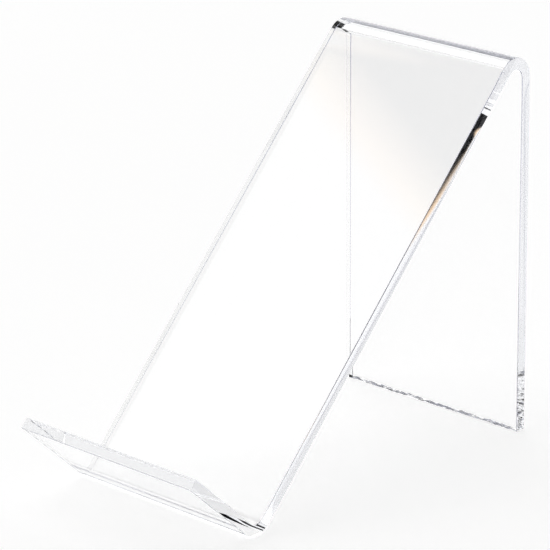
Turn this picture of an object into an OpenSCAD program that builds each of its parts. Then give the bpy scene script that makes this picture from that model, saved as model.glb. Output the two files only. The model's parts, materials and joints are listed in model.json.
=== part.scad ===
// Plate display stand: one strip of clear acrylic sheet, line-bent twice.
// The strip runs from the front lip, round the lower bend, up the sloping display face,
// over the top bend and straight down as the rear leg. It stands on the lower bend and
// on the square-cut foot of the leg.
// +X runs across the strip, a displayed plate faces -Y, and the stand rests on z = 0.

/* [Strip] */
// Width of the strip, across the stand
strip_width = 100; // [60:1:160]
// Thickness of the sheet
sheet_t = 5; // [3:0.5:8]
// Inside radius of both bends
bend_r = 4.5; // [2:0.5:8]
// How much thinner the sheet is round a bend than in its flat panels
bend_thinning = 0.1; // [0.05:0.05:0.4]

/* [Display face] */
// Slope of the display face above the horizontal, in degrees
face_slope = 47.5; // [40:0.5:60]
// Length of the display face, between the mid-plane corners of its two bends
face_length = 241; // [180:1:300]

/* [Front lip] */
// Angle between the lip and the display face, in degrees
lip_opening = 90; // [80:1:110]
// Length of the lip, from the mid-plane corner of the lower bend to its end
lip_length = 48.5; // [32:0.5:80]

/* [Hidden] */
$fn = 96;

// Radii of a bend: its mid-plane, and its inner and outer faces after thinning
mid_r = bend_r + sheet_t / 2;
inner_r = bend_r + bend_thinning / 2;
outer_r = bend_r + sheet_t - bend_thinning / 2;
// Degrees that a bend runs on inside each flat panel, so that the strip is one solid
bend_overlap = 1;
// Angle between the display face and the upright leg
top_opening = 90 - face_slope;
// Direction of each flat panel in the profile, measured from its own corner
face_dir = face_slope;
lip_dir = face_slope + lip_opening;
leg_dir = -90;

// How much of a panel a bend with this opening takes up, measured from the corner
function bend_run(opening) = mid_r / tan(opening / 2);
// Distance from the mid-plane corner to the bend's centre
function bend_reach(opening) = mid_r / sin(opening / 2);
// The point a given distance from a corner in a given direction
function step(corner, dir, distance) = corner + distance * [cos(dir), sin(dir)];

// Profile points in [y, z], before the stand is set on its origin
lower_corner = [0, 0];
top_corner = step(lower_corner, face_dir, face_length);
lower_centre = step(lower_corner, face_dir + lip_opening / 2, bend_reach(lip_opening));
ground = lower_centre[1] - outer_r;
leg_length = top_corner[1] - ground;
lip_end = step(step(lower_corner, lip_dir, lip_length), lip_dir + 90, sheet_t / 2);
front = lip_end[0];
back = top_corner[0] + sheet_t / 2;

// A straight stretch of the strip, seen from the side
module panel(corner, dir, start, end) {
    translate(corner)
        rotate(dir)
            translate([start, -sheet_t / 2])
                square([end - start, sheet_t]);
}

// A bend, seen from the side: a ring between the two directions in which its panels leave
module bend(corner, middle_dir, opening) {
    half_turn = 90 - opening / 2 + bend_overlap;
    wedge_side = 2 * outer_r / cos(half_turn);
    translate(corner)
        rotate(middle_dir)
            translate([bend_reach(opening), 0])
                intersection() {
                    difference() {
                        circle(r = outer_r);
                        circle(r = inner_r);
                    }
                    polygon([
                        [0, 0],
                        step([0, 0], 180 - half_turn, wedge_side),
                        step([0, 0], 180 + half_turn, wedge_side)
                    ]);
                }
}

// The side outline of the whole strip, in [y, z]
module strip_profile() {
    lower_run = bend_run(lip_opening);
    top_run = bend_run(top_opening);
    panel(lower_corner, lip_dir, lower_run, lip_length);
    bend(lower_corner, face_dir + lip_opening / 2, lip_opening);
    panel(lower_corner, face_dir, lower_run, face_length - top_run);
    bend(top_corner, leg_dir - top_opening / 2, top_opening);
    panel(top_corner, leg_dir, top_run, leg_length);
}

// The stand, upright on z = 0 and centred on its footprint
module bent_sheet() {
    color("aliceblue", 0.4)
        translate([-strip_width / 2, -(front + back) / 2, -ground])
            rotate([90, 0, 90])
                linear_extrude(height = strip_width)
                    strip_profile();
}

bent_sheet();
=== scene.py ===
"""Looks for the plate display stand: one strip of clear acrylic, line-bent twice, on a pale studio floor.

Everything is in metres, in the CAD part's own frame: +X across the strip, -Y towards the plate, +Z up.
"""

import json
import math

import bmesh
import bpy
from mathutils import Matrix, Vector, noise


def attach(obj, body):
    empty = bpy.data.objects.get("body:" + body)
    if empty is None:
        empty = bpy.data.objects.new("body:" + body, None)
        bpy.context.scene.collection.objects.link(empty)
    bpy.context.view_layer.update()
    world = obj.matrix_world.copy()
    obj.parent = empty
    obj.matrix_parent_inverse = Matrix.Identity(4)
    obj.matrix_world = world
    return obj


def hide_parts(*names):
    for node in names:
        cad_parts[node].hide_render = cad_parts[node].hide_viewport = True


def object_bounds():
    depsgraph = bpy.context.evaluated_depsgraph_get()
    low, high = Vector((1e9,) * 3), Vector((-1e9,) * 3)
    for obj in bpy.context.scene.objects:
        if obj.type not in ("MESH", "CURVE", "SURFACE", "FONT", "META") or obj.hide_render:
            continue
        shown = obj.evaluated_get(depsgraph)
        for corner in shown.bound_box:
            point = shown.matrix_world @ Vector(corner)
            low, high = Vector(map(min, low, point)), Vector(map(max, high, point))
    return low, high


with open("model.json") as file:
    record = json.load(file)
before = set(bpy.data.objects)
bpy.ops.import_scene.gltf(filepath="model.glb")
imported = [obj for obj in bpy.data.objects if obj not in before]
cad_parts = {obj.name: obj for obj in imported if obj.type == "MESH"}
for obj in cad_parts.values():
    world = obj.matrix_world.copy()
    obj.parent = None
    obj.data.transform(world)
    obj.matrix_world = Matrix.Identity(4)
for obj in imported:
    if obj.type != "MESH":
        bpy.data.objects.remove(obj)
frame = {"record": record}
cad_low, cad_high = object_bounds()
mounts = {mount["name"]: mount for mount in frame["record"]["mounts"]}
MM = 0.001

# ---------------------------------------------------------------- camera

CAMERA_AZIMUTH = 44.45
CAMERA_ELEVATION = 18.56
CAMERA_ROLL = -0.33
CAMERA_DISTANCE = 1.488
CAMERA_LENS = 232.9
CAMERA_REACH = 50
AIM_OFFSET = Vector((-0.9, -1.05, -0.4)) * MM


def direction(azimuth, elevation):
    """The unit vector from the part towards a viewer at that azimuth and elevation, in degrees."""
    azimuth = math.radians(azimuth)
    elevation = math.radians(elevation)
    return Vector((
        math.sin(azimuth) * math.cos(elevation),
        -math.cos(azimuth) * math.cos(elevation),
        math.sin(elevation),
    ))


def add_camera():
    """A long lens at the viewing angle, aimed at the middle of the part."""
    back = direction(CAMERA_AZIMUTH, CAMERA_ELEVATION)
    aim = (Vector(cad_low) + Vector(cad_high)) / 2 + AIM_OFFSET
    roll = Matrix.Rotation(math.radians(CAMERA_ROLL), 3, "Z")
    turn = back.to_track_quat("Z", "Y").to_matrix() @ roll
    data = bpy.data.cameras.new("camera")
    data.lens = CAMERA_LENS
    data.clip_end = CAMERA_REACH
    camera = bpy.data.objects.new("camera", data)
    camera.matrix_world = Matrix.Translation(aim + back * CAMERA_DISTANCE) @ turn.to_4x4()
    bpy.context.scene.collection.objects.link(camera)
    bpy.context.scene.camera = camera


add_camera()

# ---------------------------------------------------------------- the strip in side view, as (y, z)

BEND_INSIDE_RADIUS = 4.5 * MM
# Round a bend the sheet is drawn this much thicker than in its flat panels, where the CAD has it thinner
BEND_SWELLING = 0.2 * MM
# How far each side edge is drawn in on the stretched outside of a bend
BEND_PULL_IN = 0.25 * MM
BEND_STEP = math.radians(2.0)
# How far the heated zone reaches into a flat panel, and in how many steps it fades out
HEAT_SPREAD = 10.0 * MM
HEAT_STEPS = 8


def side_view(vector):
    """The (y, z) part of a vector of the frame."""
    return Vector((vector[1], vector[2]))


def quarter_turn(vector):
    """A side-view vector turned a quarter turn to the left."""
    return Vector((-vector.y, vector.x))


def crossing(point_a, along_a, point_b, along_b):
    """Where two lines of the side view cross."""
    gap = point_b - point_a
    share = gap.cross(along_b) / along_a.cross(along_b)
    return point_a + along_a * share


foot = side_view(mounts["foot"]["pos_m"])
half_thickness = cad_high[1] - foot.x
half_width = (cad_high[0] - cad_low[0]) / 2
face_normal = side_view(mounts["display_face"]["axis"]).normalized()
lip_normal = side_view(mounts["lip_face"]["axis"]).normalized()
face_up = -quarter_turn(face_normal)
lip_in = -quarter_turn(lip_normal)
leg_down = Vector((0, -1))
face_middle = side_view(mounts["display_face"]["pos_m"]) - face_normal * half_thickness
lip_middle = side_view(mounts["lip_face"]["pos_m"]) - lip_normal * half_thickness
lower_corner = crossing(face_middle, face_up, lip_middle, lip_in)
top_corner = crossing(face_middle, face_up, foot, leg_down)
lower_turn = math.atan2(lip_in.cross(face_up), lip_in.dot(face_up))
top_turn = math.atan2(face_up.cross(leg_down), face_up.dot(leg_down))
lip_length = (lower_corner.x - cad_low[1] - lip_normal.x * half_thickness) / lip_in.x
mid_radius = BEND_INSIDE_RADIUS + half_thickness


class Station:
    """One cross-section of the strip: its middle, where its upper face looks, and its bend.

    The bend is 1 in a bend to the left, -1 in one to the right, 0 in a flat panel and in between near a bend.
    """

    def __init__(self, point, heading, bend):
        self.point = point
        self.upper = quarter_turn(heading)
        self.bend = bend


def ease(share):
    """A smooth step from 0 to 1."""
    return share * share * (3 - 2 * share)


def bend_run(turn):
    """How much of a panel a bend takes up, measured from the corner."""
    return mid_radius * math.tan(abs(turn) / 2)


def flat_stations(start, end, bends_at):
    """Stations along a flat panel, close together where it was heated for the bends at its start and end."""
    along = end - start
    heading = along.normalized()
    heated = [HEAT_SPREAD * i / HEAT_STEPS for i in range(HEAT_STEPS + 2)]
    stations = []
    for reached in heated + [along.length - step for step in reversed(heated)]:
        near_start = max(0, 1 - reached / HEAT_SPREAD)
        near_end = max(0, 1 - (along.length - reached) / HEAT_SPREAD)
        bend = bends_at[0] * ease(near_start) + bends_at[1] * ease(near_end)
        stations.append(Station(start + heading * reached, heading, bend))
    return stations


def bend_stations(start, heading, turn):
    """Stations round a bend that turns the heading by that angle, without its first and last."""
    side = math.copysign(1, turn)
    centre = start + quarter_turn(heading) * side * mid_radius
    count = math.ceil(abs(turn) / BEND_STEP)
    stations = []
    for i in range(1, count):
        turned = Matrix.Rotation(turn * i / count, 2) @ heading
        stations.append(Station(centre - quarter_turn(turned) * side * mid_radius, turned, side))
    return stations


def strip_stations():
    """Stations along the whole strip, from the lip's end to the leg's foot."""
    lower_run = bend_run(lower_turn)
    top_run = bend_run(top_turn)
    lip_start = lower_corner - lip_in * lip_length
    lip_end = lower_corner - lip_in * lower_run
    face_start = lower_corner + face_up * lower_run
    face_end = top_corner - face_up * top_run
    leg_start = top_corner + leg_down * top_run
    return (
        flat_stations(lip_start, lip_end, (0, 1))
        + bend_stations(lip_end, lip_in, lower_turn)
        + flat_stations(face_start, face_end, (1, -1))
        + bend_stations(face_end, face_up, top_turn)
        + flat_stations(leg_start, foot, (-1, 0))
    )


# ---------------------------------------------------------------- the strip's mesh

ARRIS = 0.25 * MM
ARRIS_STEPS = 3
SIDE_CROWN = 0.03 * MM
SIDE_STEPS = 10
ACROSS_STEPS = 60
LIP_CUT_DEPTH = 0.05 * MM
FOOT_CUT_DEPTH = 1.2 * MM
CUT_GRAIN = Vector((0.6, 0.7, 0.7)) / MM
SHARP_ANGLE = math.radians(12)
POLISHED, EDGE, CUT = range(3)

arris_turns = [math.radians(90 * i / ARRIS_STEPS) for i in range(ARRIS_STEPS + 1)]


def side_profile(inset):
    """One crowned side face and its two eased arrises, upwards, as (across, through) from the middle."""
    flat = half_thickness - ARRIS
    straight = half_width - ARRIS
    radius = ARRIS - inset
    upper = [(straight + math.cos(turn) * radius, flat + math.sin(turn) * radius) for turn in arris_turns]
    lower = [(across, -through) for across, through in reversed(upper)]
    middle = [(half_width - inset, flat * (2 * i / SIDE_STEPS - 1)) for i in range(1, SIDE_STEPS)]
    return [
        (across - SIDE_CROWN * (through / half_thickness) ** 2, through)
        for across, through in lower + middle + upper
    ]


def section_outline(inset):
    """The whole cross-section as (x, share of the half thickness), drawn in by inset all round."""
    side = [(across, through / half_thickness) for across, through in side_profile(inset)]
    corner, level = side[-1]
    upper = [(corner * (1 - 2 * i / ACROSS_STEPS), level) for i in range(1, ACROSS_STEPS)]
    right_half = side + upper
    return right_half + [(-across, -share) for across, share in right_half]


side_count = len(side_profile(0))
half_count = side_count + ACROSS_STEPS - 1


def section_ring(mesh, station, shift, inset):
    """One ring of vertices round the strip, shifted along it."""
    upper = Vector((0, *station.upper))
    along = Vector((0, *-quarter_turn(station.upper)))
    centre = Vector((0, *station.point)) + along * shift
    swollen = half_thickness + BEND_SWELLING * abs(station.bend) / 2
    ring = []
    for across, share in section_outline(inset):
        stretched = abs(station.bend) * (1 - share * math.copysign(1, station.bend)) / 2
        across -= BEND_PULL_IN * stretched * across / half_width
        ring.append(mesh.verts.new(centre + Vector((across, 0, 0)) + upper * share * swollen))
    return ring


def end_rings(mesh, station, inwards):
    """The rings that ease an end of the strip, from the last full one outwards."""
    rings = []
    for turn in arris_turns:
        shift = inwards * ARRIS * (1 - math.sin(turn))
        inset = ARRIS * (1 - math.cos(turn))
        rings.append(section_ring(mesh, station, shift, inset))
    return rings


def skin(mesh, rings):
    """Faces between rings, the two sides in the edge material."""
    for ring, following in zip(rings, rings[1:]):
        for i in range(len(ring)):
            j = (i + 1) % len(ring)
            face = mesh.faces.new((ring[i], ring[j], following[j], following[i]))
            face.material_index = EDGE if i % half_count < side_count - 1 else POLISHED


def cut_end(mesh, ring, inwards, depth):
    """Closes an end of the strip with a saw-cut face. Its marks are cut inwards and fade at its long edges."""
    rows = []
    for k in range(side_count):
        right = ring[k]
        left = ring[half_count + side_count - 1 - k]
        if k == 0:
            between = ring[half_count + side_count:][::-1]
        elif k == side_count - 1:
            between = ring[side_count:half_count]
        else:
            between = []
            fade = math.sin(math.pi * k / side_count)
            for i in range(1, ACROSS_STEPS):
                place = right.co.lerp(left.co, i / ACROSS_STEPS)
                mark = abs(noise.noise(place * CUT_GRAIN)) * fade
                between.append(mesh.verts.new(place + inwards * depth * mark))
        rows.append([right, *between, left])
    for row, following in zip(rows, rows[1:]):
        for i in range(ACROSS_STEPS):
            face = mesh.faces.new((row[i], row[i + 1], following[i + 1], following[i]))
            face.material_index = CUT


def build_strip():
    """The whole strip as one closed mesh."""
    mesh = bmesh.new()
    stations = strip_stations()
    lip_rings = end_rings(mesh, stations[0], 1)
    foot_rings = end_rings(mesh, stations[-1], -1)
    between = [section_ring(mesh, station, 0, 0) for station in stations[1:-1]]
    skin(mesh, lip_rings[::-1] + between + foot_rings)
    cut_end(mesh, lip_rings[-1], Vector((0, *lip_in)), LIP_CUT_DEPTH)
    cut_end(mesh, foot_rings[-1], -Vector((0, *leg_down)), FOOT_CUT_DEPTH)
    bmesh.ops.recalc_face_normals(mesh, faces=mesh.faces)
    data = bpy.data.meshes.new("acrylic_strip")
    mesh.to_mesh(data)
    mesh.free()
    data.shade_smooth()
    data.set_sharp_from_angle(angle=SHARP_ANGLE)
    strip = bpy.data.objects.new("acrylic_strip", data)
    bpy.context.scene.collection.objects.link(strip)
    return strip


# ---------------------------------------------------------------- materials

ACRYLIC_IOR = 1.49
ABSORPTION_COLOUR = (0.0, 0.05, 0.3, 1)
ABSORPTION_PER_METRE = 0.7
MARK_DETAIL = 3.0
WEAR_STARTS = 0.35
WEAR_ENDS = 0.7


def acrylic_material(name, smooth, worn, grain, mark_height):
    """Clear acrylic with a roughness from smooth to worn, and fine marks of that height and grain."""
    material = bpy.data.materials.new(name)
    material.use_nodes = True
    tree = material.node_tree
    shader = tree.nodes["Principled BSDF"]
    shader.inputs["Base Color"].default_value = (1, 1, 1, 1)
    shader.inputs["IOR"].default_value = ACRYLIC_IOR
    shader.inputs["Transmission Weight"].default_value = 1.0

    place = tree.nodes.new("ShaderNodeTexCoord")
    stretch = tree.nodes.new("ShaderNodeMapping")
    stretch.inputs["Scale"].default_value = grain
    marks = tree.nodes.new("ShaderNodeTexNoise")
    marks.inputs["Scale"].default_value = 1.0
    marks.inputs["Detail"].default_value = MARK_DETAIL
    wear = tree.nodes.new("ShaderNodeMapRange")
    wear.inputs["From Min"].default_value = WEAR_STARTS
    wear.inputs["From Max"].default_value = WEAR_ENDS
    wear.inputs["To Min"].default_value = smooth
    wear.inputs["To Max"].default_value = worn
    bump = tree.nodes.new("ShaderNodeBump")
    bump.inputs["Distance"].default_value = mark_height
    tree.links.new(place.outputs["Object"], stretch.inputs["Vector"])
    tree.links.new(stretch.outputs["Vector"], marks.inputs["Vector"])
    tree.links.new(marks.outputs["Fac"], wear.inputs["Value"])
    tree.links.new(wear.outputs["Result"], shader.inputs["Roughness"])
    tree.links.new(marks.outputs["Fac"], bump.inputs["Height"])
    tree.links.new(bump.outputs["Normal"], shader.inputs["Normal"])

    depth = tree.nodes.new("ShaderNodeVolumeAbsorption")
    depth.inputs["Color"].default_value = ABSORPTION_COLOUR
    depth.inputs["Density"].default_value = ABSORPTION_PER_METRE
    tree.links.new(depth.outputs["Volume"], tree.nodes["Material Output"].inputs["Volume"])
    return material


def acrylic_materials():
    """The strip's three finishes, in the order POLISHED, EDGE, CUT."""
    return (
        acrylic_material("acrylic_polished", 0.0, 0.03, (30, 30, 30), 0.0005 * MM),
        acrylic_material("acrylic_edge", 0.0, 0.03, (60, 200, 200), 0.0002 * MM),
        acrylic_material("acrylic_cut", 0.03, 0.1, (900, 3000, 3000), 0.01 * MM),
    )


# ---------------------------------------------------------------- studio

FLOOR_HALF = 6.0
# The drawn bend is thicker than the CAD's and reaches below it, so the floor is a little lower too
FLOOR_DROP = 0.2 * MM
# The white patch inside the plastic of the lower bend, in place of the paper that touches it
CONTACT_HALF = 3.6 * MM
CONTACT_RISE = 0.65 * MM
CONTACT_INSET = 0.5 * MM
FLOOR_LIGHT = 0.84
PAPER_GRAIN = 40
PAPER_TONE_LOW = 0.38
PAPER_TONE_HIGH = 0.42
GAP_AXIS = direction(-110, 77)
GAP_RADIUS = 39.5
GAP_RIM = 0.6
SOFTBOX_RADIUS = 25
SOFTBOX_RIM = 3
SIDE_LIGHT_AXIS = direction(-121, 40)
SIDE_LIGHT_RADIUS = 10
WALL_AXIS = direction(-105, 0)
WALL_RADIUS = 80
WALL_RIM = 15
ROOM_TONE = 0.03
WORLD_LIGHT = 1.15
GAP_COLOUR = (0.01, 0.01, 0.012, 1)
RIM_COLOUR = (1, 0.8, 0.6, 1)
RIM_PLACE = 0.65
WHITE = (1, 1, 1, 1)
FLAG_GAP = 15 * MM
FLAG_MARGIN = 12 * MM
FLAG_SHIFT = Vector((15, -7)) * MM
PICTURE_GAMMA = 0.72
LIGHT_BOUNCES = 256


def level_sheet(name, low, high, z, material):
    """A level rectangle between two (x, y) corners, as a stage object."""
    data = bpy.data.meshes.new(name)
    outline = (low, (high[0], low[1]), high, (low[0], high[1]))
    corners = [(x, y, z) for x, y in outline]
    data.from_pydata(corners, [], [(0, 1, 2, 3)])
    data.materials.append(material)
    sheet = bpy.data.objects.new(name, data)
    bpy.context.scene.collection.objects.link(sheet)


def add_floor():
    """A lit white floor, and the patch of it that the lower bend presses on, just inside the plastic."""
    material = paper_material()
    level_sheet("floor", (-FLOOR_HALF, -FLOOR_HALF), (FLOOR_HALF, FLOOR_HALF), -FLOOR_DROP, material)
    across = half_width - CONTACT_INSET
    centre = lower_corner + (face_up - lip_in).normalized() * mid_radius / math.cos(lower_turn / 2)
    lowest = centre.x
    low = (-across, lowest - CONTACT_HALF)
    high = (across, lowest + CONTACT_HALF)
    level_sheet("contact", low, high, CONTACT_RISE, material)


def paper_material():
    """White paper that glows evenly, with a faint grain."""
    material = bpy.data.materials.new("paper")
    material.use_nodes = True
    tree = material.node_tree
    shader = tree.nodes["Principled BSDF"]
    shader.inputs["Roughness"].default_value = 1.0
    shader.inputs["Specular IOR Level"].default_value = 0.0
    shader.inputs["Emission Color"].default_value = WHITE
    shader.inputs["Emission Strength"].default_value = FLOOR_LIGHT
    paper = tree.nodes.new("ShaderNodeTexNoise")
    paper.inputs["Scale"].default_value = PAPER_GRAIN
    tone = tree.nodes.new("ShaderNodeMapRange")
    tone.inputs["To Min"].default_value = PAPER_TONE_LOW
    tone.inputs["To Max"].default_value = PAPER_TONE_HIGH
    tree.links.new(paper.outputs["Fac"], tone.inputs["Value"])
    tree.links.new(tone.outputs["Result"], shader.inputs["Base Color"])
    return material


def add_flag():
    """A black card beside the lip and the face that only shows as a mirror image in their near edges."""
    x = cad_high[0] + FLAG_GAP
    corners = (
        lower_corner - lip_in * (lip_length + FLAG_MARGIN),
        lower_corner - (face_up - lip_in) * FLAG_MARGIN,
        top_corner,
    )
    data = bpy.data.meshes.new("flag")
    data.from_pydata([(x, *(corner + FLAG_SHIFT)) for corner in corners], [], [(0, 1, 2)])
    flag = bpy.data.objects.new("flag", data)
    bpy.context.scene.collection.objects.link(flag)
    flag.visible_camera = False
    flag.visible_diffuse = False
    flag.visible_transmission = False
    flag.visible_shadow = False
    material = bpy.data.materials.new("flag")
    material.use_nodes = True
    shader = material.node_tree.nodes["Principled BSDF"]
    shader.inputs["Base Color"].default_value = (0, 0, 0, 1)
    shader.inputs["Roughness"].default_value = 1.0
    shader.inputs["Specular IOR Level"].default_value = 0.0
    data.materials.append(material)


def sky_zone(tree, axis, radius, rim):
    """A value that goes from 0 inside a cone of directions to 1 outside it, angles in degrees."""
    place = tree.nodes.new("ShaderNodeTexCoord")
    closeness = tree.nodes.new("ShaderNodeVectorMath")
    closeness.operation = "DOT_PRODUCT"
    closeness.inputs[1].default_value = axis
    zone = tree.nodes.new("ShaderNodeMapRange")
    zone.inputs["From Min"].default_value = math.cos(math.radians(radius - rim))
    zone.inputs["From Max"].default_value = math.cos(math.radians(radius + rim))
    tree.links.new(place.outputs["Generated"], closeness.inputs[0])
    tree.links.new(closeness.outputs["Value"], zone.inputs["Value"])
    return zone.outputs["Result"]


def add_world():
    """White walls to the left, a warm-rimmed dark gap and two softboxes overhead, a dim room elsewhere."""
    world = bpy.data.worlds.new("studio")
    bpy.context.scene.world = world
    world.use_nodes = True
    tree = world.node_tree
    gap = tree.nodes.new("ShaderNodeValToRGB")
    gap.color_ramp.elements[0].color = GAP_COLOUR
    gap.color_ramp.elements[1].color = WHITE
    warm = gap.color_ramp.elements.new(RIM_PLACE)
    warm.color = RIM_COLOUR
    tree.links.new(sky_zone(tree, GAP_AXIS, GAP_RADIUS, GAP_RIM), gap.inputs["Fac"])
    lit = gap.outputs["Color"]
    for axis, radius in ((GAP_AXIS, SOFTBOX_RADIUS), (SIDE_LIGHT_AXIS, SIDE_LIGHT_RADIUS)):
        softbox = tree.nodes.new("ShaderNodeMix")
        softbox.data_type = "RGBA"
        softbox.inputs["A"].default_value = WHITE
        tree.links.new(sky_zone(tree, axis, radius, SOFTBOX_RIM), softbox.inputs["Factor"])
        tree.links.new(lit, softbox.inputs["B"])
        lit = softbox.outputs["Result"]
    room = tree.nodes.new("ShaderNodeMix")
    room.data_type = "RGBA"
    room.inputs["B"].default_value = (ROOM_TONE, ROOM_TONE, ROOM_TONE, 1)
    tree.links.new(sky_zone(tree, WALL_AXIS, WALL_RADIUS, WALL_RIM), room.inputs["Factor"])
    tree.links.new(lit, room.inputs["A"])
    background = tree.nodes["Background"]
    background.inputs["Strength"].default_value = WORLD_LIGHT
    tree.links.new(room.outputs["Result"], background.inputs["Color"])


def set_picture():
    """Tones as they are lit but with the dark ones deepened, and enough bounces for the light in the sheet."""
    scene = bpy.context.scene
    scene.view_settings.view_transform = "Standard"
    scene.view_settings.gamma = PICTURE_GAMMA
    scene.cycles.max_bounces = LIGHT_BOUNCES
    scene.cycles.transmission_bounces = LIGHT_BOUNCES
    scene.cycles.glossy_bounces = LIGHT_BOUNCES


strip = build_strip()
for finish in acrylic_materials():
    strip.data.materials.append(finish)
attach(strip, "root")
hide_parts("bent_sheet")
add_floor()
add_flag()
add_world()
set_picture()
